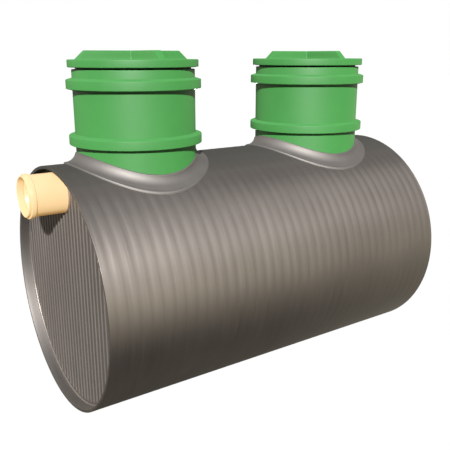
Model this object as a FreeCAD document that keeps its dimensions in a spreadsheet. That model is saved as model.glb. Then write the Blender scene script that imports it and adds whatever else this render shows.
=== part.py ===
import FreeCAD, Part
import os
import math
import Sketcher
from FreeCAD import Vector, Placement, Rotation

# Oil separator: a horizontal cylindrical plastic tank with recessed ribbed end
# walls, a socket stub in each end wall and two access shafts with lids on top.
# Frame: X along the tank axis (inlet end at -X), Z up, origin under the middle
# of the tank on the line where it lies.  Millimetres.

doc = FreeCAD.newDocument("oil_separator")

# ---------------------------------------------------------------- dimensions
sheet = doc.addObject("Spreadsheet::Sheet", "Dimensions")
DIMS = [
    ("tank_radius", 580.0), ("tank_wall", 15.0), ("tank_length", 1966.0),
    ("rim_round", 1.5),
    # end walls
    ("end_recess", 48.0), ("end_plate", 12.0), ("rib_height", 5.0),
    ("rib_pitch", 38.0), ("rib_count", 29.0), ("rib_base", 14.0),
    ("rib_crest", 5.0), ("rib_reach", 554.0), ("end_gap", 0.4),
    ("weld_leg", 7.0),
    # pipe stubs
    ("inlet_height", 1040.0), ("outlet_height", 1010.0),
    ("stub_reach", 125.0), ("stub_inside", 35.0), ("socket_radius", 93.5),
    ("bead_radius", 100.6), ("bead_length", 29.0), ("bead_shoulder", 3.0),
    ("lip_radius", 91.5), ("lip_length", 10.0), ("lip_bore", 87.0),
    ("socket_bore", 80.5), ("socket_depth", 108.0), ("pipe_bore", 76.0),
    ("chamber_depth", 29.0), ("wall_hole", 97.5), ("mouth_round", 2.5),
    # access shafts
    ("inlet_shaft_x", -549.0), ("outlet_shaft_x", 517.0),
    ("shaft_radius", 283.0), ("shaft_wall", 10.0), ("shaft_gap", 0.4),
    ("ring_radius", 311.5), ("ring_round", 3.0), ("ring_slope_top", 8.5),
    ("ring_slope_bottom", 6.5),
    ("lower_ring_bottom", 1239.5), ("lower_ring_top", 1279.5),
    ("upper_ring_bottom", 1490.5), ("upper_ring_top", 1530.5),
    ("neck_top", 1576.0), ("neck_flange", 12.0), ("manhole_radius", 250.0),
    ("collar_radius", 344.0), ("collar_lip", 7.0), ("collar_fillet", 35.0),
    ("collar_sleeve", 6.0), ("collar_top_radius", 527.0), ("collar_top_centre", 681.0),
    # lids
    ("lid_seal_inner", 252.0), ("lid_seal_outer", 266.5),
    ("lid_bottom", 1584.9), ("lid_top", 1619.0), ("lid_radius", 300.5),
    ("lid_plate", 14.0), ("lid_round", 4.0), ("lid_gap", 0.2),
    ("plug_outer", 243.0), ("plug_inner", 232.0), ("plug_depth", 40.0),
    ("cross_top", 1658.1), ("cross_base", 280.0), ("cross_crest", 236.0),
    ("cross_width", 34.0), ("cross_fillet", 7.0), ("cross_edge", 3.0),
]
D = {}
for i, (alias, value) in enumerate(DIMS):
    cell = "B%d" % (i + 1)
    sheet.set("A%d" % (i + 1), alias)
    sheet.set(cell, "%g" % value)
    sheet.setAlias(cell, alias)
    D[alias] = value
doc.recompute()

S = "<<Dimensions>>."
sheet.Label = "Dimensions"


def q(expr):
    """Write a formula of sheet aliases as an expression: '@name' -> cell."""
    return expr.replace("@", S)


nodes = []          # the finished sub-parts, in order


def node(obj, label):
    obj.Label = label
    nodes.append(obj)
    return obj


def body(name):
    return doc.addObject("PartDesign::Body", name)


def plane(bd, role):
    for f in bd.Origin.OriginFeatures:
        if f.Role == role:
            return f
    raise ValueError(role)


def profile(bd, role, points, name):
    """Closed straight-sided sketch on an origin plane of its body.

    points are (u, v) pairs of formulas; each corner gets a distance to the two
    sketch axes that is bound to the sheet.
    """
    sk = bd.newObject("Sketcher::SketchObject", name)
    sk.AttachmentSupport = (plane(bd, role), [""])
    sk.MapMode = "FlatFace"
    val = []
    for u, v in points:
        val.append((number(u), number(v)))
    n = len(val)
    for i in range(n):
        a, b = val[i], val[(i + 1) % n]
        sk.addGeometry(Part.LineSegment(Vector(a[0], a[1], 0),
                                        Vector(b[0], b[1], 0)), False)
    for i in range(n):
        sk.addConstraint(Sketcher.Constraint("Coincident", i, 2, (i + 1) % n, 1))
    for i, (u, v) in enumerate(points):
        for kind, formula, value in (("DistanceX", u, val[i][0]),
                                     ("DistanceY", v, val[i][1])):
            k = sk.addConstraint(Sketcher.Constraint(kind, -1, 1, i, 1, value))
            if isinstance(formula, str):
                sk.setExpression("Constraints[%d]" % k, q(formula))
    return sk


def number(formula):
    """Value of a formula of '@name' terms."""
    if not isinstance(formula, str):
        return float(formula)
    total = 0.0
    for sign, term in split_terms(formula):
        product = 1.0
        for factor in term.split("*"):
            factor = factor.strip()
            if factor.startswith("@"):
                product *= D[factor[1:]]
            elif "/" in factor:
                top, low = factor.split("/")
                product *= float(top) / float(low)
            else:
                product *= float(factor)
        total += sign * product
    return total


def split_terms(formula):
    terms, sign, buf = [], 1.0, ""
    for ch in formula:
        if ch in "+-":
            if buf.strip():
                terms.append((sign, buf.strip()))
                buf = ""
                sign = 1.0
            if ch == "-":
                sign = -sign
        else:
            buf += ch
    terms.append((sign, buf.strip()))
    return terms


def revolve(bd, sk, axis):
    rev = bd.newObject("PartDesign::Revolution", sk.Name + "_turn")
    rev.Profile = sk
    rev.ReferenceAxis = (sk, [axis])
    rev.Angle = 360.0
    doc.recompute()
    return rev


def place(obj, x=None, y=None, z=None):
    for axis, formula in (("x", x), ("y", y), ("z", z)):
        if formula is not None:
            obj.setExpression("Placement.Base." + axis, q(formula))


def round_edges(bd, base, radius, test, name):
    """PartDesign fillet on the edges of base whose sample points pass test."""
    names = []
    for i, e in enumerate(base.Shape.Edges):
        pts = [e.valueAt(e.FirstParameter + (e.LastParameter - e.FirstParameter) * t)
               for t in (0.1, 0.37, 0.63, 0.9)]
        if all(test(p) for p in pts):
            names.append("Edge%d" % (i + 1))
    if not names:
        raise ValueError("no edge to round on " + name)
    f = bd.newObject("PartDesign::Fillet", name)
    f.Base = (base, names)
    f.setExpression("Radius", q("@" + radius))
    doc.recompute()
    return f


def cylinder(name, radius, height, rot=None):
    c = doc.addObject("Part::Cylinder", name)
    c.setExpression("Radius", q(radius))
    c.setExpression("Height", q(height))
    if rot is not None:
        c.Placement = Placement(Vector(0, 0, 0), rot)
    return c


def cut(name, base, tool):
    c = doc.addObject("Part::Cut", name)
    c.Base = base
    c.Tool = tool
    return c


ALONG_X = Rotation(Vector(0, 1, 0), 90)


def near(a, b, tol=0.05):
    return abs(a - b) < tol


# ------------------------------------------------------------------- tank shell
# Turned wall with rounded rims; the two shaft holes are drilled from above.
b = body("TankShell")
sk = profile(b, "XZ_Plane", [
    ("-1/2*@tank_length", "@tank_radius-@tank_wall"),
    ("1/2*@tank_length", "@tank_radius-@tank_wall"),
    ("1/2*@tank_length", "@tank_radius"),
    ("-1/2*@tank_length", "@tank_radius")], "shell_section")
rev = revolve(b, sk, "H_Axis")
half = D["tank_length"] / 2
rim = round_edges(b, rev, "rim_round",
                  lambda p: near(abs(p.x), half)
                  and near(math.hypot(p.y, p.z), D["tank_radius"]), "shell_rims")
hole_sk = b.newObject("Sketcher::SketchObject", "shaft_holes")
hole_sk.AttachmentSupport = (plane(b, "XY_Plane"), [""])
hole_sk.MapMode = "FlatFace"
for n, alias in enumerate(("inlet_shaft_x", "outlet_shaft_x")):
    hole_sk.addGeometry(Part.Circle(Vector(D[alias], 0, 0), Vector(0, 0, 1),
                                    D["shaft_radius"] + D["shaft_gap"]), False)
    k = hole_sk.addConstraint(Sketcher.Constraint("DistanceX", -1, 1, n, 3, D[alias]))
    hole_sk.setExpression("Constraints[%d]" % k, q("@" + alias))
    hole_sk.addConstraint(Sketcher.Constraint("PointOnObject", n, 3, -1))
    k = hole_sk.addConstraint(Sketcher.Constraint(
        "Radius", n, D["shaft_radius"] + D["shaft_gap"]))
    hole_sk.setExpression("Constraints[%d]" % k, q("@shaft_radius+@shaft_gap"))
doc.recompute()
before = rim.Shape.Volume
holes = b.newObject("PartDesign::Pocket", "shaft_holes_cut")
holes.Profile = hole_sk
holes.Type = 0
holes.setExpression("Length", q("@tank_radius+20"))
holes.Reversed = True
doc.recompute()
if not before - holes.Shape.Volume > 5.0e6:
    raise ValueError("shaft holes were not cut")
place(b, z="@tank_radius")
node(b, "tank_shell")


# ------------------------------------------------------------- ribbed end walls
# A disc with upright ribs on its outer side, set back from the tank rim.
def end_wall(prefix, side, height):
    # side -1: inlet end, +1: outlet end; u grows outwards from the disc
    sgn = "" if side > 0 else "-"
    x_out = "1/2*@tank_length-@end_recess"

    def xs(extra):
        f = x_out + extra
        if side > 0:
            return f
        return "-1/2*@tank_length+@end_recess" + extra.replace("+", "#").replace("-", "+").replace("#", "-")

    plate = cylinder(prefix + "_end_disc", "@tank_radius-@tank_wall-@end_gap",
                     "@end_plate", ALONG_X)
    if side > 0:
        place(plate, x=xs("-@rib_height-@end_plate"), z="@tank_radius")
    else:
        place(plate, x=xs("-@rib_height"), z="@tank_radius")
    # one rib, repeated across the disc
    rb = body(prefix + "_ribs")
    o = 1.0 if side > 0 else -1.0
    first = "-1/2*@rib_count*@rib_pitch+1/2*@rib_pitch"
    pts = [(xs("-@rib_height-0.5"), first + "-1/2*@rib_base"),
           (xs("-@rib_height-0.5"), first + "+1/2*@rib_base"),
           (xs(""), first + "+1/2*@rib_crest"),
           (xs(""), first + "-1/2*@rib_crest")]
    rs = profile(rb, "XY_Plane", pts, prefix + "_rib_section")
    doc.recompute()
    pad = rb.newObject("PartDesign::Pad", prefix + "_rib")
    pad.Profile = rs
    pad.setExpression("Length", q("2*@tank_radius"))
    doc.recompute()
    pat = rb.newObject("PartDesign::LinearPattern", prefix + "_rib_row")
    pat.Originals = [pad]
    pat.Direction = (rs, ["V_Axis"])
    pat.setExpression("Length", q("(@rib_count-1)*@rib_pitch"))
    pat.setExpression("Occurrences", q("@rib_count"))
    rb.Tip = pat
    doc.recompute()
    trim = cylinder(prefix + "_rib_limit", "@rib_reach", "@rib_height+10.5", ALONG_X)
    place(trim, x=xs("-@rib_height-0.5") if side > 0 else xs("+10"),
          z="@tank_radius")
    ribs = doc.addObject("Part::Common", prefix + "_ribs_trimmed")
    ribs.Base = rb
    ribs.Tool = trim
    wall = doc.addObject("Part::Fuse", prefix + "_ribbed_disc")
    wall.Base = plate
    wall.Tool = ribs
    wall.Refine = True
    drill = cylinder(prefix + "_stub_hole", "@wall_hole", "200", ALONG_X)
    place(drill, x=xs("-100"), z="@" + height)
    if side < 0:
        drill.setExpression("Placement.Base.x", q("-1/2*@tank_length+@end_recess-100"))
    out = cut(prefix + "_end_wall_solid", wall, drill)
    out.Refine = True
    doc.recompute()
    node(out, prefix + "_end_wall")

    # bead in the corner between the disc and the inside of the shell
    wb = body(prefix + "_weld_body")
    e = "" if side > 0 else "-"
    base = xs("-@rib_height+0.1")
    tipx = xs("-@rib_height+@weld_leg")
    ws = profile(wb, "XZ_Plane", [
        (base, "@tank_radius-@tank_wall-@end_gap"),
        (tipx, "@tank_radius-@tank_wall-@end_gap"),
        (xs("-@rib_height+3/4*@weld_leg"), "@tank_radius-@tank_wall-@end_gap-2/5*@weld_leg"),
        (xs("-@rib_height+2/5*@weld_leg"), "@tank_radius-@tank_wall-@end_gap-3/4*@weld_leg"),
        (base, "@tank_radius-@tank_wall-@end_gap-@weld_leg")],
        prefix + "_weld_section")
    revolve(wb, ws, "H_Axis")
    place(wb, z="@tank_radius")
    node(wb, prefix + "_end_weld")


end_wall("inlet", -1, "inlet_height")
end_wall("outlet", 1, "outlet_height")


# --------------------------------------------------------------------- pipe stubs
# A turned stub: front lip, ring bead round a wider mouth, socket, and a plain
# tail that passes through the end wall.  The section is drawn with x
# measured from the mouth into the tank.
def stub(prefix, side, height):
    sb = body(prefix + "_stub")
    tail = "@stub_reach+@end_recess+@end_plate+@rib_height+@stub_inside"
    pts = [
        ("0", "@lip_bore+1.5"),
        ("1.5", "@lip_bore"),
        ("@chamber_depth", "@lip_bore"),
        ("@chamber_depth+4", "@socket_bore"),
        ("@socket_depth", "@socket_bore"),
        ("@socket_depth+3", "@pipe_bore"),
        (tail, "@pipe_bore"),
        (tail, "@socket_radius"),
        ("@bead_length+@bead_shoulder", "@socket_radius"),
        ("@bead_length", "@bead_radius"),
        ("@lip_length+3", "@bead_radius"),
        ("@lip_length", "@lip_radius"),
        ("0", "@lip_radius"),
    ]
    s = profile(sb, "XZ_Plane", pts, prefix + "_stub_section")
    rev = revolve(sb, s, "H_Axis")
    round_edges(sb, rev, "mouth_round",
                lambda p: (near(math.hypot(p.y, p.z), D["bead_radius"])
                           and (near(p.x, D["lip_length"] + 3)
                                or near(p.x, D["bead_length"])))
                or (near(math.hypot(p.y, p.z), D["lip_radius"]) and near(p.x, 0)),
                prefix + "_bead_round")
    rb = body(prefix + "_grommet_body")
    near_face = "@stub_reach+@end_recess"
    rs = profile(rb, "XZ_Plane", [
        (near_face + "-3", "@socket_radius+0.3"),
        (near_face + "-3", "@wall_hole-2"),
        (near_face + "+1", "@wall_hole-0.3"),
        (near_face + "+@rib_height+@end_plate+4", "@wall_hole-0.3"),
        (near_face + "+@rib_height+@end_plate+4", "@socket_radius+0.3")],
        prefix + "_grommet_section")
    revolve(rb, rs, "H_Axis")
    for bd, label in ((sb, "_socket"), (rb, "_wall_seal")):
        if side > 0:
            bd.Placement = Placement(Vector(0, 0, 0), Rotation(Vector(0, 0, 1), 180))
            place(bd, x="1/2*@tank_length+@stub_reach", z="@" + height)
        else:
            place(bd, x="-1/2*@tank_length-@stub_reach", z="@" + height)
        node(bd, prefix + label)


stub("inlet", -1, "inlet_height")
stub("outlet", 1, "outlet_height")


# ------------------------------------------------------------------ access shafts
def turned(name, label, points, x_formula, rounds=()):
    tb = body(name)
    s = profile(tb, "XZ_Plane", points, name + "_section")
    last = revolve(tb, s, "V_Axis")
    for i, (radius, test) in enumerate(rounds):
        last = round_edges(tb, last, radius, test, name + "_round%d" % i)
    place(tb, x=x_formula)
    node(tb, label)
    return tb


def shaft(prefix):
    xf = "@" + prefix + "_shaft_x"
    xv = D[prefix + "_shaft_x"]

    # saddle collar: a short sleeve round the tube meets the tank with a rolling
    # fillet; trimmed to a round plan and a bowed top, then hollowed by the tank
    # and by the tube
    drum = cylinder(prefix + "_saddle_drum", "@tank_radius+@collar_lip",
                    "2*@collar_radius+40", ALONG_X)
    place(drum, x=xf + "-@collar_radius-20", z="@tank_radius")
    post = cylinder(prefix + "_saddle_post", "@shaft_radius+@collar_sleeve",
                    "@tank_radius+160")
    place(post, x=xf, z="@tank_radius")
    union = doc.addObject("Part::Fuse", prefix + "_saddle_union")
    union.Base = drum
    union.Tool = post
    doc.recompute()
    edges = []
    for i, e in enumerate(union.Shape.Edges):
        pts = [e.valueAt(e.FirstParameter + (e.LastParameter - e.FirstParameter) * t)
               for t in (0.1, 0.37, 0.63, 0.9)]
        if all(near(math.hypot(p.x - xv, p.y), D["shaft_radius"] + D["collar_sleeve"])
               and near(math.hypot(p.y, p.z - D["tank_radius"]),
                        D["tank_radius"] + D["collar_lip"]) for p in pts):
            edges.append((i + 1, D["collar_fillet"], D["collar_fillet"]))
    if not edges:
        raise ValueError("saddle edge not found")
    blend = doc.addObject("Part::Fillet", prefix + "_saddle_fillet")
    blend.Base = union
    blend.Edges = edges
    doc.recompute()
    plan = cylinder(prefix + "_saddle_plan", "@collar_radius", "@tank_radius+140")
    place(plan, x=xf, z="@tank_radius")
    piece = doc.addObject("Part::Common", prefix + "_saddle_round")
    piece.Base = blend
    piece.Tool = plan
    crown = cylinder(prefix + "_saddle_crown", "@collar_top_radius",
                     "2*@collar_radius+80", ALONG_X)
    place(crown, x=xf + "-@collar_radius-40", z="@collar_top_centre")
    short = doc.addObject("Part::Common", prefix + "_saddle_short")
    short.Base = piece
    short.Tool = crown
    bore = cylinder(prefix + "_saddle_bore", "@shaft_radius+@shaft_gap", "2*@tank_radius")
    place(bore, x=xf, z="@tank_radius-100")
    hollow = cut(prefix + "_saddle_hollow", short, bore)
    core = cylinder(prefix + "_saddle_core", "@tank_radius+0.3",
                    "2*@collar_radius+80", ALONG_X)
    place(core, x=xf + "-@collar_radius-40", z="@tank_radius")
    collar = cut(prefix + "_saddle", hollow, core)
    doc.recompute()
    node(collar, prefix + "_shaft_collar")

    # lowest tube: its foot follows the inside of the tank
    outer = cylinder(prefix + "_base_outer", "@shaft_radius",
                     "1/2*@lower_ring_bottom+1/2*@lower_ring_top-@tank_radius")
    place(outer, x=xf, z="@tank_radius")
    inner = cylinder(prefix + "_base_inner", "@shaft_radius-@shaft_wall", "2*@tank_radius")
    place(inner, x=xf, z="1/2*@tank_radius")
    tube = cut(prefix + "_base_blank", outer, inner)
    drum_in = cylinder(prefix + "_base_foot", "@tank_radius-@tank_wall",
                       "2*@collar_radius+80", ALONG_X)
    place(drum_in, x=xf + "-@collar_radius-40", z="@tank_radius")
    foot = cut(prefix + "_base", tube, drum_in)
    doc.recompute()
    node(foot, prefix + "_base_tube")

    def ring(which):
        lo, hi = "@%s_ring_bottom" % which, "@%s_ring_top" % which
        turned(prefix + "_" + which + "_ring_body", prefix + "_" + which + "_ring", [
            ("@shaft_radius+@shaft_gap", lo + "-@ring_slope_bottom"), ("@ring_radius", lo),
            ("@ring_radius", hi), ("@shaft_radius+@shaft_gap", hi + "+@ring_slope_top")], xf,
            [("ring_round", lambda p: near(math.hypot(p.x, p.y), D["ring_radius"]))])

    mid_low = "1/2*@lower_ring_bottom+1/2*@lower_ring_top"
    mid_high = "1/2*@upper_ring_bottom+1/2*@upper_ring_top"
    ring("lower")
    turned(prefix + "_riser_body", prefix + "_riser_tube", [
        ("@shaft_radius-@shaft_wall", mid_low), ("@shaft_radius", mid_low),
        ("@shaft_radius", mid_high), ("@shaft_radius-@shaft_wall", mid_high)], xf)
    ring("upper")
    turned(prefix + "_neck_body", prefix + "_neck", [
        ("@shaft_radius-@shaft_wall", mid_high), ("@shaft_radius", mid_high),
        ("@shaft_radius", "@neck_top"), ("@manhole_radius", "@neck_top"),
        ("@manhole_radius", "@neck_top-@neck_flange"),
        ("@shaft_radius-@shaft_wall", "@neck_top-@neck_flange")], xf,
        [("ring_round", lambda p: near(math.hypot(p.x, p.y), D["shaft_radius"])
          and near(p.z, D["neck_top"]))])
    turned(prefix + "_lid_seal_body", prefix + "_lid_seal", [
        ("@lid_seal_inner", "@neck_top"), ("@lid_seal_outer", "@neck_top"),
        ("@lid_seal_outer", "@lid_bottom-@lid_gap"),
        ("@lid_seal_inner", "@lid_bottom-@lid_gap")], xf)

    # lid: rim plate with a plug ring below
    lb = body(prefix + "_lid_body")
    s = profile(lb, "XZ_Plane", [
        ("0", "@lid_top"), ("0", "@lid_top-@lid_plate"),
        ("@plug_inner", "@lid_top-@lid_plate"),
        ("@plug_inner", "@lid_bottom-@plug_depth"),
        ("@plug_outer", "@lid_bottom-@plug_depth"),
        ("@plug_outer", "@lid_bottom"), ("@lid_radius", "@lid_bottom"),
        ("@lid_radius", "@lid_top")], prefix + "_lid_section")
    last = revolve(lb, s, "V_Axis")
    last = round_edges(lb, last, "lid_round",
                       lambda p: near(math.hypot(p.x, p.y), D["lid_radius"]),
                       prefix + "_lid_rim_round")
    place(lb, x=xf)
    node(lb, prefix + "_lid")

    # raised cross that stands on the lid plate
    cb = body(prefix + "_cross_body")
    for role, tag in (("XZ_Plane", "x"), ("YZ_Plane", "y")):
        cs = profile(cb, role, [
            ("-1*@cross_base", "@lid_top"), ("@cross_base", "@lid_top"),
            ("@cross_crest", "@cross_top"), ("-1*@cross_crest", "@cross_top")],
            prefix + "_cross_" + tag)
        pad = cb.newObject("PartDesign::Pad", prefix + "_cross_pad_" + tag)
        pad.Profile = cs
        pad.Midplane = True
        pad.setExpression("Length", q("@cross_width"))
        doc.recompute()
        last = pad
    hw = D["cross_width"] / 2
    last = round_edges(cb, last, "cross_fillet",
                       lambda p: near(abs(p.x), hw) and near(abs(p.y), hw),
                       prefix + "_cross_corner")
    last = round_edges(cb, last, "cross_edge",
                       lambda p: near(p.z, D["cross_top"]),
                       prefix + "_cross_edges")
    place(cb, x=xf)
    node(cb, prefix + "_lid_cross")


shaft("inlet")
shaft("outlet")

# ------------------------------------------------------------------ check, write
doc.recompute()
bad = []
for obj in doc.Objects:
    if "Invalid" in obj.State or "Error" in obj.State:
        bad.append(obj.Name + " " + str(obj.State))
for obj in nodes:
    if obj.Shape.isNull() or not obj.Shape.isValid():
        bad.append(obj.Label + " shape")
    elif len(obj.Shape.Solids) != 1:
        bad.append(obj.Label + " solids %d" % len(obj.Shape.Solids))
if bad:
    raise RuntimeError("failed: " + ", ".join(bad))

os.makedirs("parts", exist_ok=True)
for obj in nodes:
    obj.Shape.exportStep(os.path.join("parts", obj.Label + ".step"))
    bb = obj.Shape.BoundBox
    print("%-22s vol %10.1f cm3  x %.1f..%.1f y %.1f..%.1f z %.1f..%.1f" % (
        obj.Label, obj.Shape.Volume / 1000.0, bb.XMin, bb.XMax, bb.YMin, bb.YMax,
        bb.ZMin, bb.ZMax))
print(len(nodes), "nodes")
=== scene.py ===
import math

import bmesh
import bpy
import numpy as np
from mathutils import Matrix, Vector


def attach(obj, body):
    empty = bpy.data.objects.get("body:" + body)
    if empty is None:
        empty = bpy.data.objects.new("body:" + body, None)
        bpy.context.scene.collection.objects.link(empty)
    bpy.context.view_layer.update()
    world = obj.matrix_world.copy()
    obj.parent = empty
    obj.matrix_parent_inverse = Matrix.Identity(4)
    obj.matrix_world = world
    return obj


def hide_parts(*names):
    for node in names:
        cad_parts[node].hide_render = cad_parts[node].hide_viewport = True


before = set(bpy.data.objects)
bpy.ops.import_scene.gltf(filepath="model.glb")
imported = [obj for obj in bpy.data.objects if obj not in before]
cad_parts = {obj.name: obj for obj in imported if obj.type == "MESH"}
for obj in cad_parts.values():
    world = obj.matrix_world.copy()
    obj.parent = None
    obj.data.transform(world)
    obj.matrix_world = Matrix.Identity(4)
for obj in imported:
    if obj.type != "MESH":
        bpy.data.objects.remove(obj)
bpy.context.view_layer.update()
scene = bpy.context.scene

# Metres, in the part's frame: X along the tank, inlet end at -X, Z up.
R = 0.580                # tank radius, its axis is at this height
HALF = 0.983             # half the shell's length
SHAFTS = {"inlet": -0.549, "outlet": 0.517}
STUBS = {"inlet": (-1, 1.040), "outlet": (1, 1.010)}
TUBE = 0.283
TAU = 2.0 * math.pi


# ------------------------------------------------------------------ mesh helpers
def shade(me, angle):
    me.polygons.foreach_set("use_smooth", [True] * len(me.polygons))
    me.set_sharp_from_angle(angle=math.radians(angle))
    me.update()


def build(name, verts, faces, angle=32.0):
    """A linked mesh object with outward normals and smooth shading."""
    me = bpy.data.meshes.new(name)
    me.from_pydata([tuple(map(float, v)) for v in verts], [], faces)
    bm = bmesh.new()
    bm.from_mesh(me)
    bmesh.ops.recalc_face_normals(bm, faces=bm.faces)
    bm.to_mesh(me)
    bm.free()
    shade(me, angle)
    ob = bpy.data.objects.new(name, me)
    scene.collection.objects.link(ob)
    return ob


def carve(ob, cutter, angle=32.0):
    """Cuts one closed mesh out of another and drops the cutter."""
    mod = ob.modifiers.new("cut", "BOOLEAN")
    mod.operation = "DIFFERENCE"
    mod.solver = "EXACT"
    mod.object = cutter
    bpy.context.view_layer.update()
    dg = bpy.context.evaluated_depsgraph_get()
    me = bpy.data.meshes.new_from_object(ob.evaluated_get(dg))
    ob.modifiers.clear()
    old = ob.data
    ob.data = me
    bpy.data.meshes.remove(old)
    tool = cutter.data
    bpy.data.objects.remove(cutter)
    bpy.data.meshes.remove(tool)
    shade(me, angle)
    return ob


def rounded(points, steps=5):
    """A closed outline of (a, b[, radius]) with arcs at the corners."""
    out = []
    n = len(points)
    for i, p in enumerate(points):
        b = Vector(p[:2])
        rad = p[2] if len(p) > 2 else 0.0
        if rad <= 0.0:
            out.append((b.x, b.y))
            continue
        u = (Vector(points[i - 1][:2]) - b).normalized()
        w = (Vector(points[(i + 1) % n][:2]) - b).normalized()
        half = u.angle(w) / 2.0
        mid = b + (u + w).normalized() * (rad / math.sin(half))
        p0 = b + u * (rad / math.tan(half))
        p1 = b + w * (rad / math.tan(half))
        a0 = math.atan2(p0.y - mid.y, p0.x - mid.x)
        a1 = math.atan2(p1.y - mid.y, p1.x - mid.x)
        turn = (a1 - a0 + math.pi) % TAU - math.pi
        for k in range(steps + 1):
            t = a0 + turn * k / steps
            out.append((mid.x + rad * math.cos(t), mid.y + rad * math.sin(t)))
    return out


def ring_faces(segs, m):
    """Quads of a closed section of m points carried round in segs steps."""
    faces = []
    for i in range(segs):
        j = (i + 1) % segs
        for k in range(m):
            q = (k + 1) % m
            faces.append((i * m + k, j * m + k, j * m + q, i * m + q))
    return faces


def lathe(name, section, at, axis="Z", segs=160, angle=32.0):
    """A closed section of (radius, height) turned about an axis through at."""
    m = len(section)
    verts = []
    for i in range(segs):
        a = TAU * i / segs
        c, s = math.cos(a), math.sin(a)
        for r, h in section:
            if axis == "Z":
                verts.append((at[0] + r * c, at[1] + r * s, at[2] + h))
            else:
                verts.append((at[0] + h, at[1] + r * c, at[2] + r * s))
    return build(name, verts, ring_faces(segs, m), angle)


def lathe_disc(name, section, at, segs=160, angle=32.0):
    """An open section that starts and ends on the Z axis, turned to a solid."""
    inner = section[1:-1]
    m = len(inner)
    verts = []
    for i in range(segs):
        a = TAU * i / segs
        for r, h in inner:
            verts.append((at[0] + r * math.cos(a), at[1] + r * math.sin(a), at[2] + h))
    first, last = len(verts), len(verts) + 1
    verts.append((at[0], at[1], at[2] + section[0][1]))
    verts.append((at[0], at[1], at[2] + section[-1][1]))
    faces = []
    for i in range(segs):
        j = (i + 1) % segs
        for k in range(m - 1):
            faces.append((i * m + k, j * m + k, j * m + k + 1, i * m + k + 1))
        faces.append((first, j * m, i * m))
        faces.append((last, i * m + m - 1, j * m + m - 1))
    return build(name, verts, faces, angle)


def smooth(t):
    t = np.clip(t, 0.0, 1.0)
    return t * t * (3.0 - 2.0 * t)


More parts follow.
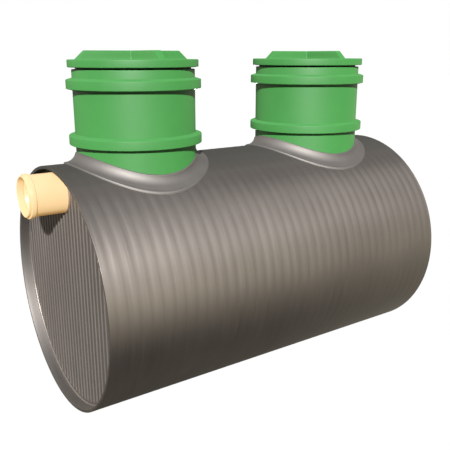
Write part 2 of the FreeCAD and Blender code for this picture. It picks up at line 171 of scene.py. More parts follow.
# --------------------------------------------------------------------- materials
class Look:
    """Node material of a moulded or extruded plastic."""

    def __init__(self, name, rough, spec=0.5, ior=1.5, metal=0.0):
        self.mat = bpy.data.materials.new(name)
        self.mat.use_nodes = True
        self.nt = self.mat.node_tree
        self.nt.nodes.clear()
        self.out = self.nt.nodes.new("ShaderNodeOutputMaterial")
        self.bsdf = self.nt.nodes.new("ShaderNodeBsdfPrincipled")
        self.nt.links.new(self.bsdf.outputs["BSDF"], self.out.inputs["Surface"])
        self.coord = self.nt.nodes.new("ShaderNodeTexCoord")
        self.bsdf.inputs["Roughness"].default_value = rough
        self.bsdf.inputs["Specular IOR Level"].default_value = spec
        self.bsdf.inputs["IOR"].default_value = ior
        self.bsdf.inputs["Metallic"].default_value = metal

    def noise(self, scale, detail=3.0, rough=0.5, stretch=(1.0, 1.0, 1.0)):
        mp = self.nt.nodes.new("ShaderNodeMapping")
        mp.inputs["Scale"].default_value = stretch
        self.nt.links.new(self.coord.outputs["Object"], mp.inputs["Vector"])
        n = self.nt.nodes.new("ShaderNodeTexNoise")
        n.inputs["Scale"].default_value = scale
        n.inputs["Detail"].default_value = detail
        n.inputs["Roughness"].default_value = rough
        self.nt.links.new(mp.outputs["Vector"], n.inputs["Vector"])
        return n.outputs["Fac"]

    def span(self, fac, low, high, a=0.3, b=0.7):
        r = self.nt.nodes.new("ShaderNodeMapRange")
        r.inputs["From Min"].default_value = a
        r.inputs["From Max"].default_value = b
        r.inputs["To Min"].default_value = low
        r.inputs["To Max"].default_value = high
        self.nt.links.new(fac, r.inputs["Value"])
        return r.outputs["Result"]

    def ease(self, fac, low, high, a, b):
        """Like span, with soft ends."""
        out = self.span(fac, low, high, a, b)
        out.node.interpolation_type = "SMOOTHSTEP"
        return out

    def reach(self, a, b):
        """0 to 1 as the distance from the tank's middle goes from a to b."""
        sep = self.nt.nodes.new("ShaderNodeSeparateXYZ")
        self.nt.links.new(self.coord.outputs["Object"], sep.inputs[0])
        far = self.nt.nodes.new("ShaderNodeMath")
        far.operation = "ABSOLUTE"
        self.nt.links.new(sep.outputs["X"], far.inputs[0])
        return self.span(far.outputs[0], 0.0, 1.0, a, b)

    def phase(self, period, start):
        """Place within a wave along X, 0 to 1."""
        sep = self.nt.nodes.new("ShaderNodeSeparateXYZ")
        self.nt.links.new(self.coord.outputs["Object"], sep.inputs[0])
        scaled = self.nt.nodes.new("ShaderNodeMath")
        scaled.operation = "MULTIPLY_ADD"
        scaled.inputs[1].default_value = 1.0 / period
        scaled.inputs[2].default_value = start / period
        self.nt.links.new(sep.outputs["X"], scaled.inputs[0])
        part = self.nt.nodes.new("ShaderNodeMath")
        part.operation = "FRACT"
        self.nt.links.new(scaled.outputs[0], part.inputs[0])
        return part.outputs[0]

    def depth(self, radius):
        """0 at 20 mm inside a cylinder about the tank axis, 1 at its surface."""
        mp = self.nt.nodes.new("ShaderNodeMapping")
        mp.inputs["Location"].default_value = (0.0, 0.0, -radius)
        mp.inputs["Scale"].default_value = (0.0, 1.0, 1.0)
        self.nt.links.new(self.coord.outputs["Object"], mp.inputs["Vector"])
        length = self.nt.nodes.new("ShaderNodeVectorMath")
        length.operation = "LENGTH"
        self.nt.links.new(mp.outputs["Vector"], length.inputs[0])
        return self.span(length.outputs["Value"], 0.0, 1.0, radius - 0.020, radius)

    def rise(self, radius):
        """Height over the tank axis in radii, 1 on the crown line."""
        sep = self.nt.nodes.new("ShaderNodeSeparateXYZ")
        self.nt.links.new(self.coord.outputs["Object"], sep.inputs[0])
        return self.span(sep.outputs["Z"], 0.0, 1.0, radius, 2.0 * radius)

    def upward(self):
        """Height of the surface's own normal, 1 on a level face."""
        geo = self.nt.nodes.new("ShaderNodeNewGeometry")
        sep = self.nt.nodes.new("ShaderNodeSeparateXYZ")
        self.nt.links.new(geo.outputs["Normal"], sep.inputs[0])
        return sep.outputs["Z"]

    def sum(self, a, b):
        m = self.nt.nodes.new("ShaderNodeMath")
        m.operation = "ADD"
        self.nt.links.new(a, m.inputs[0])
        self.nt.links.new(b, m.inputs[1])
        return m.outputs[0]

    def ramp(self, fac, *stops):
        r = self.nt.nodes.new("ShaderNodeValToRGB")
        e = r.color_ramp.elements
        while len(e) < len(stops):
            e.new(0.5)
        for k, (pos, col) in enumerate(stops):
            e[k].position = pos
            e[k].color = (*col, 1.0)
        self.nt.links.new(fac, r.inputs["Fac"])
        return r.outputs["Color"]

    def blend(self, mode, fac, a, b):
        m = self.nt.nodes.new("ShaderNodeMix")
        m.data_type = "RGBA"
        m.blend_type = mode
        m.inputs["Factor"].default_value = fac
        self.nt.links.new(a, m.inputs[6])
        self.nt.links.new(b, m.inputs[7])
        return m.outputs[2]

    def colour(self, socket):
        self.nt.links.new(socket, self.bsdf.inputs["Base Color"])

    def roughness(self, socket):
        self.nt.links.new(socket, self.bsdf.inputs["Roughness"])

    def metal(self, socket):
        self.nt.links.new(socket, self.bsdf.inputs["Metallic"])

    def bump(self, *layers):
        normal = None
        for socket, strength, distance in layers:
            b = self.nt.nodes.new("ShaderNodeBump")
            b.inputs["Strength"].default_value = strength
            b.inputs["Distance"].default_value = distance
            self.nt.links.new(socket, b.inputs["Height"])
            if normal is not None:
                self.nt.links.new(normal, b.inputs["Normal"])
            normal = b.outputs["Normal"]
        self.nt.links.new(normal, self.bsdf.inputs["Normal"])


WAVES, WAVE = 37, 0.00060       # ring waves along the shell, crest to groove
PERIOD = 2.0 * HALF / WAVES


def tint(c, k):
    return tuple(min(1.0, x * k) for x in c)


def shell_look(name, base, rough, metal, streak, wound=0.0, groove=0.0):
    """Satin polyethylene: cloudy grey-brown with fine drawn lines."""
    k = Look(name, rough, 0.5, 1.5, metal)
    if wound:                       # gloss spreads across the drawn lines
        k.bsdf.inputs["Anisotropic"].default_value = wound
        k.bsdf.inputs["Anisotropic Rotation"].default_value = 0.25
        tan = k.nt.nodes.new("ShaderNodeTangent")
        tan.direction_type = "RADIAL"
        tan.axis = "X"
        k.nt.links.new(tan.outputs["Tangent"], k.bsdf.inputs["Tangent"])
    cloud = k.noise(2.6, 4.0, 0.55)
    fine = k.noise(1.0, 5.0, 0.6, streak)
    col = k.ramp(cloud, (0.30, tint(base, 0.93)), (0.70, tint(base, 1.06)))
    lines = k.ramp(fine, (0.30, (0.86, 0.86, 0.86)), (0.72, (1.0, 1.0, 1.0)))
    col = k.blend("MULTIPLY", 0.55, col, lines)
    if wound:                       # a faint darker line at one place in each ring wave
        wave_line = k.ramp(k.phase(PERIOD, HALF), (0.46, (1.0, 1.0, 1.0)), (0.53, (0.965, 0.965, 0.965)),
                      (0.59, (0.965, 0.965, 0.965)), (0.66, (1.0, 1.0, 1.0)))
        col = k.blend("MULTIPLY", 1.0, col, wave_line)
    rougher = k.span(fine, rough - 0.03, rough + 0.04)
    if wound:                       # the inner face is duller than the wound outer face
        depth = k.depth(R)
        col = k.blend("MULTIPLY", 1.0, col, k.ramp(depth, (0.30, (0.63, 0.65, 0.665)), (0.60, (1.0, 1.0, 1.0))))
        rougher = k.sum(rougher, k.span(depth, 0.20, 0.0, 0.30, 0.60))
        up = k.rise(R)              # the crown is dull, without the gloss of the sides; its green tint and part of its darkening are painted reflection and painted shade from the green shafts
        col = k.blend("MULTIPLY", 1.0, col, k.ramp(
            up, (0.80, (1.0, 1.0, 1.0)), (0.82, (0.86, 0.86, 0.86)), (0.84, (0.62, 0.62, 0.62)),
            (0.86, (0.42, 0.42, 0.42)), (0.88, (0.295, 0.297, 0.293)), (0.90, (0.212, 0.216, 0.210)),
            (0.92, (0.148, 0.152, 0.146)), (0.95, (0.104, 0.109, 0.102)), (0.985, (0.082, 0.088, 0.080))))
        rougher = k.sum(rougher, k.ease(up, 0.0, 0.44, 0.84, 0.985))
        k.metal(k.ease(up, metal, 0.0, 0.80, 0.985))
    if groove:                      # painted shade on the floor between the ribs and painted light on their crests
        col = k.blend("MULTIPLY", 1.0, col, k.ramp(
            k.reach(groove, groove + 0.005), (0.05, (0.80, 0.80, 0.80)), (0.95, (1.12, 1.12, 1.12))))
    k.colour(col)
    k.roughness(rougher)
    k.bump((fine, 0.10, 0.0006), (k.noise(900.0, 2.0), 0.05, 0.0003))
    return k.mat


def moulded_look(name, base, rough, spec=0.5, grain=700.0, metal=0.0, matt=0.0, dull=0.0, glow=None):
    """Moulded plastic: nearly even colour, faint clouding and fine grain."""
    k = Look(name, rough, spec, 1.5, metal)
    k.bsdf.inputs["Diffuse Roughness"].default_value = matt
    cloud = k.noise(5.0, 4.0, 0.6)
    grains = k.noise(grain, 2.0, 0.5)
    k.colour(k.ramp(cloud, (0.28, tint(base, 0.95)), (0.72, tint(base, 1.04))))
    gloss = k.span(cloud, rough - 0.025, rough + 0.03)
    if dull:                        # upward faces carry a coarser, duller grain
        gloss = k.sum(gloss, k.span(k.upward(), 0.0, dull, 0.80, 0.97))
    k.roughness(gloss)
    if glow:                        # painted glow: an emission standing in for light on the cream plastic, with painted shade on the underside
        painted_glow = k.ramp(k.span(k.upward(), 0.0, 1.0, -0.92, -0.62), (0.0, (0.58 * glow[0], 0.44 * glow[1], 0.25 * glow[2])), (1.0, glow))
        k.nt.links.new(painted_glow, k.bsdf.inputs["Emission Color"])
        k.bsdf.inputs["Emission Strength"].default_value = 0.49
    k.bump((grains, 0.06, 0.0004), (cloud, 0.04, 0.002))
    return k.mat


M_SHELL = shell_look("shell_pe", (0.330, 0.292, 0.267), 0.42, 1.0, (260.0, 3.5, 3.5), 0.25)
M_END = shell_look("end_pe", (0.186, 0.162, 0.146), 0.45, 0.70, (90.0, 90.0, 3.0), 0.0, HALF - 0.053)
M_COLLAR = moulded_look("collar_pe", (0.198, 0.184, 0.173), 0.68, 0.5, 600.0, 0.98)
M_GREEN = moulded_look("green_pe", (0.028, 0.146, 0.030), 0.57, 0.42, 800.0, 0.0, 0.45, 0.40)
# the cream pipe's last argument is the colour of its painted glow
M_PIPE = moulded_look("cream_pvc", (0.272, 0.203, 0.138), 0.32, 0.5, 900.0, 0.0, 0.3, 0.46, (1.0, 0.62, 0.20))
# black rubber with a faint green tint: a painted reflection of the green parts in the shaded gap under each lid
M_RUBBER = moulded_look("black_rubber", (0.003, 0.009, 0.003), 0.70, 0.15, 500.0)
# its brown is painted warm light bounced from the cream stub; the grommet's own colour is not known
M_GROMMET = moulded_look("brown_rubber", (0.170, 0.105, 0.066), 0.65, 0.3, 500.0)


def piece(ob, mat, node, body="tank"):
    ob.data.materials.clear()
    ob.data.materials.append(mat)
    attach(ob, body)
    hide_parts(node)
    ob.visible_glossy = mat is not M_GREEN      # satin shell: no mirror image of the shafts
    return ob


# -------------------------------------------------------------------- tank shell
def wave_depth(x):
    """Depth below the crest: broad crests and narrow grooves, falling slowly."""
    u = np.linspace(-0.05, 0.95, 2001)
    slope = np.where(u < 0.55, 1.0 - 2.0 * (u + 0.05) / 0.6, -np.cos(np.pi * (u - 0.55) / 0.4))
    h = np.concatenate([[0.0], np.cumsum(0.5 * (slope[1:] + slope[:-1]) * (u[1] - u[0]))])
    h = (h.max() - h) / (h.max() - h.min())
    at = ((x + HALF) / PERIOD - 0.02) % 1.0 - 0.05
    return WAVE * np.interp(at, u, h)


def make_shell():
    inner = R - 0.015
    crest = R - 0.0003
    rim = 0.00015
    flat = HALF - rim
    rows = WAVES * 11
    xs = np.linspace(-flat, flat, rows + 1)
    sec = [(x, crest, 1.0) for x in xs]
    for k in range(1, 6):                       # rim at the outlet end
        t = math.radians(90 * k / 5)
        sec.append((flat + rim * math.sin(t), crest - rim * (1 - math.cos(t)), 0.0))
    for k in range(0, 4):
        t = math.radians(90 * k / 3)
        sec.append((HALF - 0.0005 * (1 - math.cos(t)), inner + 0.0005 * (1 - math.sin(t)), 0.0))
    for x in (0.965, 0.945, 0.90, 0.80, 0.4, 0.0, -0.4, -0.80, -0.90, -0.945, -0.965):
        sec.append((x, inner, 0.0))
    for k in range(3, -1, -1):                  # rim at the inlet end
        t = math.radians(90 * k / 3)
        sec.append((-HALF + 0.0005 * (1 - math.cos(t)), inner + 0.0005 * (1 - math.sin(t)), 0.0))
    for k in range(5, 0, -1):
        t = math.radians(90 * k / 5)
        sec.append((-flat - rim * math.sin(t), crest - rim * (1 - math.cos(t)), 0.0))
    sec = np.array(sec)
    depth = wave_depth(sec[:, 0]) * sec[:, 2] * smooth((HALF - 0.003 - np.abs(sec[:, 0])) / 0.010)
    segs = 180
    a = np.arange(segs) * TAU / segs
    # the waves are shallow under the tank and deeper on its upper side
    grow = np.interp(np.sin(a), [-1.0, -0.26, 0.0, 0.34, 0.5, 0.64, 0.77, 0.87, 1.0], [0.3, 0.42, 1.1, 0.95, 1.2, 2.1, 1.65, 0.8, 0.6])
    rad = sec[None, :, 1] - depth[None, :] * grow[:, None]
    m = len(sec)
    v = np.empty((segs, m, 3))
    v[:, :, 0] = sec[None, :, 0]
    v[:, :, 1] = rad * np.cos(a)[:, None]
    v[:, :, 2] = R + rad * np.sin(a)[:, None]
    ob = build("shell_skin", v.reshape(-1, 3), ring_faces(segs, m), 40.0)
    for x in SHAFTS.values():
        drill = lathe_disc("drill", [(0, 0.62), (TUBE + 0.0004, 0.62),
                                     (TUBE + 0.0004, 1.30), (0, 1.30)], (x, 0, 0), 144)
        carve(ob, drill, 40.0)
    return piece(ob, M_SHELL, "tank_shell")


# --------------------------------------------------------------------- end walls
PITCH, RIB, RIBS = 0.038, 0.005, 29


def rib_height(y):
    """Soft rib profile across the end wall, crests at multiples of the pitch."""
    u = np.abs((y / PITCH + 0.5) % 1.0 - 0.5) * PITCH     # distance from a crest
    t = np.clip((u - 0.0015) / (0.0070 - 0.0015), 0.0, 1.0)
    return RIB * (0.5 + 0.5 * np.cos(np.pi * t))


def make_end(prefix):
    side, height = STUBS[prefix]
    edge = R - 0.015 - 0.0004
    grid = [-0.0155, -0.0115, -0.0080, -0.0065, -0.0053, -0.0042, -0.0031, -0.0018, 0.0,
            0.0018, 0.0031, 0.0042, 0.0053, 0.0065, 0.0080, 0.0115, 0.0155]
    half = (RIBS - 1) // 2
    y = np.array([i * PITCH + g for i in range(-half, half + 1) for g in grid])
    y = np.concatenate([[-0.5640, -0.5610, -0.5560], y, [0.5560, 0.5610, 0.5640]])
    cols = len(y) - 1
    rows = 60
    s = np.sin(np.linspace(-0.5, 0.5, rows + 1) * np.pi)
    z = np.sqrt(edge ** 2 - y ** 2)[:, None] * s[None, :]
    r = np.sqrt(y[:, None] ** 2 + z ** 2)
    lift = rib_height(y)[:, None] * smooth((0.5560 - r) / 0.008)
    front = np.stack([side * (HALF - 0.048 - RIB + lift), np.repeat(y[:, None], rows + 1, 1), z + R], -1)
    back = front.copy()
    back[:, :, 0] = side * (HALF - 0.048 - RIB - 0.012)
    n, m = cols + 1, rows + 1
    verts = [tuple(p) for p in front.reshape(-1, 3)]
    faces = [(i * m + j, (i + 1) * m + j, (i + 1) * m + j + 1, i * m + j + 1)
             for i in range(cols) for j in range(rows)]
    low, top = len(verts), len(verts) + n
    verts += [tuple(back[i, 0]) for i in range(n)] + [tuple(back[i, -1]) for i in range(n)]
    for i in range(cols):
        faces.append((low + i, low + i + 1, top + i + 1, top + i))
        faces.append((i * m, (i + 1) * m, low + i + 1, low + i))
        faces.append((i * m + rows, (i + 1) * m + rows, top + i + 1, top + i))
    faces.append(tuple(j for j in range(m)) + (top, low))
    faces.append(tuple(cols * m + j for j in range(m)) + (top + cols, low + cols))
    ob = build(prefix + "_end_panel", verts, faces, 35.0)
    drill = lathe_disc("drill", [(0, -0.2), (0.0975, -0.2), (0.0975, 0.2), (0, 0.2)], (0, 0, 0), 96)
    drill.data.transform(Matrix.Translation((side * 0.925, 0, height)) @ Matrix.Rotation(math.pi / 2, 4, "Y"))
    carve(ob, drill, 35.0)
    piece(ob, M_END, prefix + "_end_wall")

    # bead between panel and shell, with the fine ripple of a weld
    leg = 0.0070
    foot = HALF - 0.048 - RIB + 0.0001
    segs = 1500
    arc = [(edge - leg * math.cos(t) ** 0.9, foot + leg * math.sin(t) ** 0.9)
           for t in [math.radians(k) for k in (0, 15, 30, 45, 60, 75, 90)]]
    m = len(arc) + 1
    verts = []
    for i in range(segs):
        a = TAU * i / segs
        wav = 0.97 + 0.02 * math.sin(300 * a) + 0.03 * math.sin(23 * a + 1.0) * math.sin(7 * a)
        for rr, xx in arc:
            rad = edge - (edge - rr) * min(wav, 1.06)
            verts.append((side * (foot + (xx - foot) * min(wav, 1.06)), rad * math.cos(a), R + rad * math.sin(a)))
        verts.append((side * foot, edge * math.cos(a), R + edge * math.sin(a)))
    ob = build(prefix + "_weld_bead", verts, ring_faces(segs, m), 50.0)
    piece(ob, M_END, prefix + "_end_weld")


# -------------------------------------------------------------------- pipe stubs
def make_stub(prefix):
    side, height = STUBS[prefix]
    mouth = HALF + 0.125
    tail = 0.225
    mm = 0.001
    outline = [(87.0, 0.0, 1.0), (91.5, 0.0, 1.0), (91.5, 10.6, 0.4), (100.6, 12.0, 1.2),
               (100.6, 29.2, 2.4), (93.5, 32.0, 1.2), (93.5, tail / mm, 1.0), (76.0, tail / mm, 1.0),
               (76.0, 111.0, 2.0), (80.5, 108.0, 2.0), (80.5, 45.0, 6.0), (86.6, 32.8, 0.8), (90.4, 32.2, 0.6),
               (90.4, 28.9, 0.6), (87.0, 28.5, 0.6)]
    sec = [(r * mm, side * (mouth - h * mm)) for r, h in rounded(outline, 4)]
    ob = lathe(prefix + "_stub", sec, (0, 0, height), "X", 128, 30.0)
    piece(ob, M_PIPE, prefix + "_socket")
    near = HALF - 0.048
    sec = [(r, side * (near - h)) for r, h in rounded(
        [(0.0938, -0.0020, 0.0008), (0.0955, -0.0020, 0.0008), (0.0972, 0.0010),
         (0.0972, 0.0210), (0.0938, 0.0210)], 3)]
    ob = lathe(prefix + "_grommet", sec, (0, 0, height), "X", 96, 30.0)
    piece(ob, M_GROMMET, prefix + "_wall_seal")


# ----------------------------------------------------------------- access shafts
def make_collar(prefix):
    """Sleeve with a bowed top that runs into a saddle flange by a rolling fillet."""
    cx = SHAFTS[prefix]
    ball, lip, reach, bore, post = 0.052, 0.007, 0.344, TUBE + 0.0004, TUBE + 0.006
    drum = R + lip
    segs = 200
    steps = 14
    edge = 0.0045
    rings = []
    for i in range(segs):
        p = TAU * i / segs
        cp, sp = math.cos(p), math.sin(p)

        def top(rad):
            return 0.101 + math.sqrt(0.527 ** 2 - (rad * sp) ** 2)
        out = post + ball                                   # arc on the flange, cut off by the top
        for k in range(40):
            up = math.sqrt((drum + ball) ** 2 - (out * sp) ** 2)
            start = min(top(post) - 0.0025, up)
            out = post + math.sqrt(ball ** 2 - (up - start) ** 2)
        c = np.array([out * cp, out * sp, up])
        a = (np.array([post * cp, post * sp, start]) - c) / ball
        b = -np.array([0.0, c[1], c[2]]) / (drum + ball)
        om = math.acos(float(np.clip(a @ b, -1, 1)))
        sec = [np.array([bore * cp, bore * sp, top(bore)])]
        e = 0.0015
        for k in range(4):                                  # rounded upper edge
            t = math.radians(90 * k / 3)
            rad = post - e + e * math.sin(t)
            sec.append(np.array([rad * cp, rad * sp, top(rad) - e * (1 - math.cos(t))]))
        for k in range(steps + 1):
            t = k / steps
            sec.append(c + ball * (math.sin((1 - t) * om) * a + math.sin(t * om) * b) / math.sin(om))
        q = math.atan2(sec[-1][1], sec[-1][0])
        r0 = math.hypot(sec[-1][0], sec[-1][1])

        def on(rad, radius, drop=0.0):
            yy = rad * math.sin(q)
            return np.array([rad * math.cos(q), yy, math.sqrt(radius ** 2 - yy ** 2) - drop])
        room = max(reach - edge - r0, 0.0004)
        for f in (0.2, 0.4, 0.55, 0.7, 0.85):               # shallow valley inside the rim
            sec.append(on(r0 + room * f, drum, 0.0013 * min(room / 0.02, 1.0) * math.sin(math.pi * f ** 1.3)))
        for k in range(5):                                  # rounded outer edge
            t = math.radians(90 * k / 4)
            sec.append(on(reach - edge + edge * math.sin(t), drum, edge * (1 - math.cos(t))))
        sec.append(on(reach, R - 0.0016))
        # underside and bore
        sec.append(on(0.31, R - 0.0016))
        yy = bore * sp
        sec.append(np.array([bore * cp, yy, math.sqrt((R - 0.0016) ** 2 - yy ** 2)]))
        rings.append(sec)
    m = len(rings[0])
    v = np.array(rings).reshape(-1, 3) + np.array([cx, 0, R])
    ob = build(prefix + "_saddle", v, ring_faces(segs, m), 40.0)
    return piece(ob, M_COLLAR, prefix + "_shaft_collar")


def make_base(prefix):
    cx = SHAFTS[prefix]
    inner, top, floor = TUBE - 0.010, 1.2595, R - 0.015
    segs = 160
    verts = []
    for i in range(segs):
        a = TAU * i / segs
        c, s = math.cos(a), math.sin(a)
        for r, z in ((TUBE, top), (TUBE, None), (inner, None), (inner, top)):
            if z is None:
                z = R + math.sqrt(floor ** 2 - (r * s) ** 2) + 0.0003
            verts.append((cx + r * c, r * s, z))
    ob = build(prefix + "_base_pipe", verts, ring_faces(segs, 4), 32.0)
    return piece(ob, M_GREEN, prefix + "_base_tube")


def make_cross(prefix):
    cx = SHAFTS[prefix]
    low, top, e = 1.6190, 1.6581, 0.003
    levels = [(low, 0.280, 0.0182), (low + 0.0008, 0.2793, 0.0176), (low + 0.0020, 0.2780, 0.0172)]
    slope = (0.280 - 0.236) / (top - low)
    for f in (0.3, 0.6, 1.0):
        z = low + 0.002 + (top - e - low - 0.002) * f
        levels.append((z, 0.280 - slope * (z - low), 0.0171))
    for k in range(1, 5):
        t = math.radians(90 * k / 4)
        z = top - e + e * math.sin(t)
        levels.append((z, 0.280 - slope * (z - low) - 0.6 * e * (1 - math.cos(t)), 0.0171 - e * (1 - math.cos(t))))
    loops = []
    for z, arm, w in levels:
        pts = []
        for q in range(4):
            c, s = (1, 0, -1, 0)[q], (0, 1, 0, -1)[q]
            for u, v, rad in ((w, -w, 0.0065), (arm, -w, 0.0022), (arm, w, 0.0022)):
                pts.append((u * c - v * s, u * s + v * c, rad))
        loops.append([(cx + a, b, z) for a, b in rounded(pts, 5)])
    n = len(loops[0])
    verts = [p for lp in loops for p in lp]
    faces = [(k * n + i, k * n + (i + 1) % n, (k + 1) * n + (i + 1) % n, (k + 1) * n + i)
             for k in range(len(loops) - 1) for i in range(n)]
    faces.append(tuple(range(n - 1, -1, -1)))
    faces.append(tuple((len(loops) - 1) * n + i for i in range(n)))
    ob = build(prefix + "_cross", verts, faces, 38.0)
    bm = bmesh.new()
    bm.from_mesh(ob.data)
    bmesh.ops.triangulate(bm, faces=[f for f in bm.faces if len(f.verts) > 4])
    bm.to_mesh(ob.data)
    bm.free()
    shade(ob.data, 38.0)
    return piece(ob, M_GREEN, prefix + "_lid_cross", prefix + "_lid")


def make_shaft(prefix):
    cx = SHAFTS[prefix]
    at = (cx, 0, 0)
    make_collar(prefix)
    make_base(prefix)
    wall = TUBE - 0.010
    for which, lo, hi in (("lower", 1.2395, 1.2795), ("upper", 1.4905, 1.5305)):
        sec = rounded([(TUBE + 0.0002, lo - 0.0065, 0.0006), (0.3115, lo, 0.0030), (0.3115, hi, 0.0030),
                       (TUBE + 0.0002, hi + 0.0085, 0.0006)], 6)
        ob = lathe(prefix + "_" + which + "_band", sec, at, "Z", 176)
        piece(ob, M_GREEN, prefix + "_" + which + "_ring")
    ob = lathe(prefix + "_riser", rounded([(wall, 1.2595), (TUBE, 1.2595), (TUBE, 1.5105), (wall, 1.5105)]), at)
    piece(ob, M_GREEN, prefix + "_riser_tube")
    sec = rounded([(wall, 1.5105), (TUBE, 1.5105), (TUBE, 1.5760, 0.003), (0.250, 1.5760, 0.0015),
                   (0.250, 1.5640, 0.0015), (wall, 1.5640, 0.002)])
    ob = lathe(prefix + "_mouth", sec, at)
    piece(ob, M_GREEN, prefix + "_neck")
    sec = rounded([(0.252, 1.5760), (0.2665, 1.5760, 0.0008), (0.2652, 1.5789, 0.0008), (0.2665, 1.5818, 0.0008),
                   (0.2655, 1.5847, 0.0008), (0.252, 1.5847)], 3)
    ob = lathe(prefix + "_gasket", sec, at)
    piece(ob, M_RUBBER, prefix + "_lid_seal")
    sec = rounded([(0.0, 1.6190), (0.3005, 1.6190, 0.004), (0.3005, 1.5849, 0.004), (0.243, 1.5849, 0.001),
                   (0.243, 1.5449, 0.003), (0.232, 1.5449, 0.003), (0.232, 1.6050, 0.003), (0.0, 1.6050)], 6)
    ob = lathe_disc(prefix + "_cover", sec, at, 176)
    piece(ob, M_GREEN, prefix + "_lid", prefix + "_lid")
    make_cross(prefix)


make_shell()
for end in ("inlet", "outlet"):
    make_end(end)
    make_stub(end)
    make_shaft(end)


# ----------------------------------------------------------------- floor and light
def make_floor():
    s = 40.0
    me = bpy.data.meshes.new("floor")
    me.from_pydata([(-s, -s, 0), (s, -s, 0), (s, s, 0), (-s, s, 0)], [], [(0, 1, 2, 3)])
    ob = bpy.data.objects.new("floor", me)
    scene.collection.objects.link(ob)
    mat = bpy.data.materials.new("pale_floor")
    mat.use_nodes = True
    nt = mat.node_tree
    nt.nodes.clear()
    out = nt.nodes.new("ShaderNodeOutputMaterial")
    mix = nt.nodes.new("ShaderNodeAddShader")
    em = nt.nodes.new("ShaderNodeEmission")
    em.inputs["Color"].default_value = (1.0, 1.0, 1.0, 1.0)
    em.inputs["Strength"].default_value = 0.93
    df = nt.nodes.new("ShaderNodeBsdfDiffuse")
    df.inputs["Color"].default_value = (0.05, 0.05, 0.05, 1.0)
    nt.links.new(em.outputs[0], mix.inputs[0])
    nt.links.new(df.outputs[0], mix.inputs[1])
    nt.links.new(mix.outputs[0], out.inputs["Surface"])
    me.materials.append(mat)
    ob.visible_diffuse = False
    ob.visible_glossy = False
    ob.visible_shadow = False


make_floor()

world = bpy.data.worlds.new("studio")
scene.world = world
world.use_nodes = True
nt = world.node_tree
nt.nodes.clear()
out = nt.nodes.new("ShaderNodeOutputWorld")
mix = nt.nodes.new("ShaderNodeMixShader")
path = nt.nodes.new("ShaderNodeLightPath")
seen = nt.nodes.new("ShaderNodeBackground")
seen.inputs["Color"].default_value = (1.0, 1.0, 1.0, 1.0)
seen.inputs["Strength"].default_value = 1.0
glow = nt.nodes.new("ShaderNodeBackground")
glow.inputs["Strength"].default_value = 1.0
coord = nt.nodes.new("ShaderNodeTexCoord")
sep = nt.nodes.new("ShaderNodeSeparateXYZ")
nt.links.new(coord.outputs["Generated"], sep.inputs[0])
lift = nt.nodes.new("ShaderNodeMapRange")
lift.inputs["From Min"].default_value = -1.0
lift.inputs["From Max"].default_value = 1.0
nt.links.new(sep.outputs["Z"], lift.inputs["Value"])


def sky(stops):
    """Room light by height, from straight down (0) to straight up (1)."""
    ramp = nt.nodes.new("ShaderNodeValToRGB")
    e = ramp.color_ramp.elements
    while len(e) < len(stops):
        e.new(0.5)
    for k, (pos, v, tone) in enumerate(stops):
        e[k].position = pos
        e[k].color = (v * tone[0], v * tone[1], v * tone[2], 1.0)
    nt.links.new(lift.outputs["Result"], ramp.inputs["Fac"])
    return ramp.outputs["Color"]


def towards(az, el):
    az, el = math.radians(az), math.radians(el)
    return math.cos(el) * math.cos(az), math.cos(el) * math.sin(az), math.sin(el)


def softbox(az, el, tight, strength, tone):
    """A round soft light far away in one direction."""
    dot = nt.nodes.new("ShaderNodeVectorMath")
    dot.operation = "DOT_PRODUCT"
    dot.inputs[1].default_value = towards(az, el)
    nt.links.new(coord.outputs["Generated"], dot.inputs[0])
    fall = nt.nodes.new("ShaderNodeMath")
    fall.operation = "MULTIPLY_ADD"
    fall.inputs[1].default_value = tight
    fall.inputs[2].default_value = -tight
    nt.links.new(dot.outputs["Value"], fall.inputs[0])
    bell = nt.nodes.new("ShaderNodeMath")
    bell.operation = "EXPONENT"
    nt.links.new(fall.outputs[0], bell.inputs[0])
    col = nt.nodes.new("ShaderNodeVectorMath")
    col.operation = "SCALE"
    col.inputs[0].default_value = tuple(strength * t for t in tone)
    nt.links.new(bell.outputs[0], col.inputs["Scale"])
    return col.outputs["Vector"]


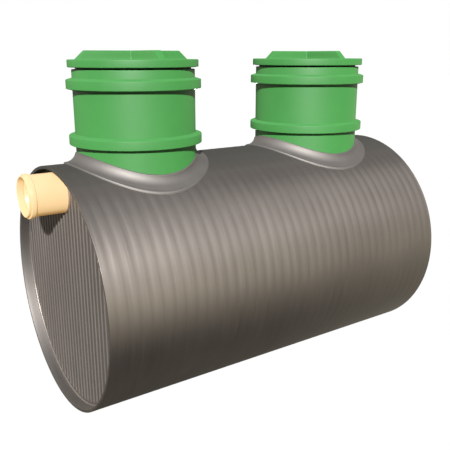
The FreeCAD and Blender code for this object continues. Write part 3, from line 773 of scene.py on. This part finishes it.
WARM, PLAIN, COOL = (1.05, 1.0, 0.80), (1.0, 1.0, 0.97), (0.95, 1.0, 1.03)
light = sky(((0.0, 0.137, WARM), (0.117, 0.0, WARM), (0.25, 0.095, WARM), (0.396, 0.159, WARM),
             (0.57, 0.085, WARM), (0.765, 0.10, PLAIN), (0.933, 0.25, COOL), (1.0, 0.70, COOL)))
for box in (softbox(-49.6, 28.9, 52.0, 1.20, PLAIN), softbox(-22.5, 43.2, 60.0, 1.185, PLAIN),
            softbox(-70.0, 0.2, 20.1, 0.94, WARM), softbox(6.8, -14.0, 13.5, 1.36, WARM),
            softbox(172.0, 8.0, 6.0, 0.22, PLAIN), softbox(130.0, 29.0, 30.0, 1.6, PLAIN),
            softbox(157.0, 43.0, 40.0, 1.5, PLAIN), softbox(122.0, 12.0, 20.0, 1.3, WARM)):
    both = nt.nodes.new("ShaderNodeVectorMath")
    both.operation = "ADD"
    nt.links.new(light, both.inputs[0])
    nt.links.new(box, both.inputs[1])
    light = both.outputs["Vector"]
nt.links.new(light, glow.inputs["Color"])
nt.links.new(path.outputs["Is Camera Ray"], mix.inputs["Fac"])
nt.links.new(glow.outputs[0], mix.inputs[1])
nt.links.new(seen.outputs[0], mix.inputs[2])
nt.links.new(mix.outputs[0], out.inputs["Surface"])


def sun(name, ray, strength, size):
    data = bpy.data.lights.new(name, "SUN")
    data.energy = strength
    data.angle = math.radians(size)
    ob = bpy.data.objects.new(name, data)
    scene.collection.objects.link(ob)
    ob.rotation_mode = "QUATERNION"
    ob.rotation_quaternion = Vector(ray).to_track_quat("Z", "Y")
    return ob


sun("key", towards(-122.0, 28.0), 3.12 * math.pi, 3.0)
sun("back", towards(56.0, -15.5), 0.9 * math.pi, 6.0)

# ------------------------------------------------------------------------ camera
yaw, pitch, roll = math.radians(34.39), math.radians(15.47), math.radians(-0.064)
f = Vector((math.sin(yaw) * math.cos(pitch), math.cos(yaw) * math.cos(pitch), -math.sin(pitch)))
r = Vector((math.cos(yaw), -math.sin(yaw), 0.0))
u = r.cross(f)
r, u = math.cos(roll) * r + math.sin(roll) * u, -math.sin(roll) * r + math.cos(roll) * u
cam = bpy.data.cameras.new("camera")
cam.lens = 49.01
cam.sensor_width = 36.0
cam.clip_start, cam.clip_end = 0.05, 200.0
eye = bpy.data.objects.new("camera", cam)
eye.matrix_world = Matrix(((r.x, u.x, -f.x, -1.8554), (r.y, u.y, -f.y, -2.6563),
                           (r.z, u.z, -f.z, 1.6356), (0, 0, 0, 1)))
scene.collection.objects.link(eye)
scene.camera = eye
scene.view_settings.view_transform = "Standard"

bpy.context.view_layer.update()
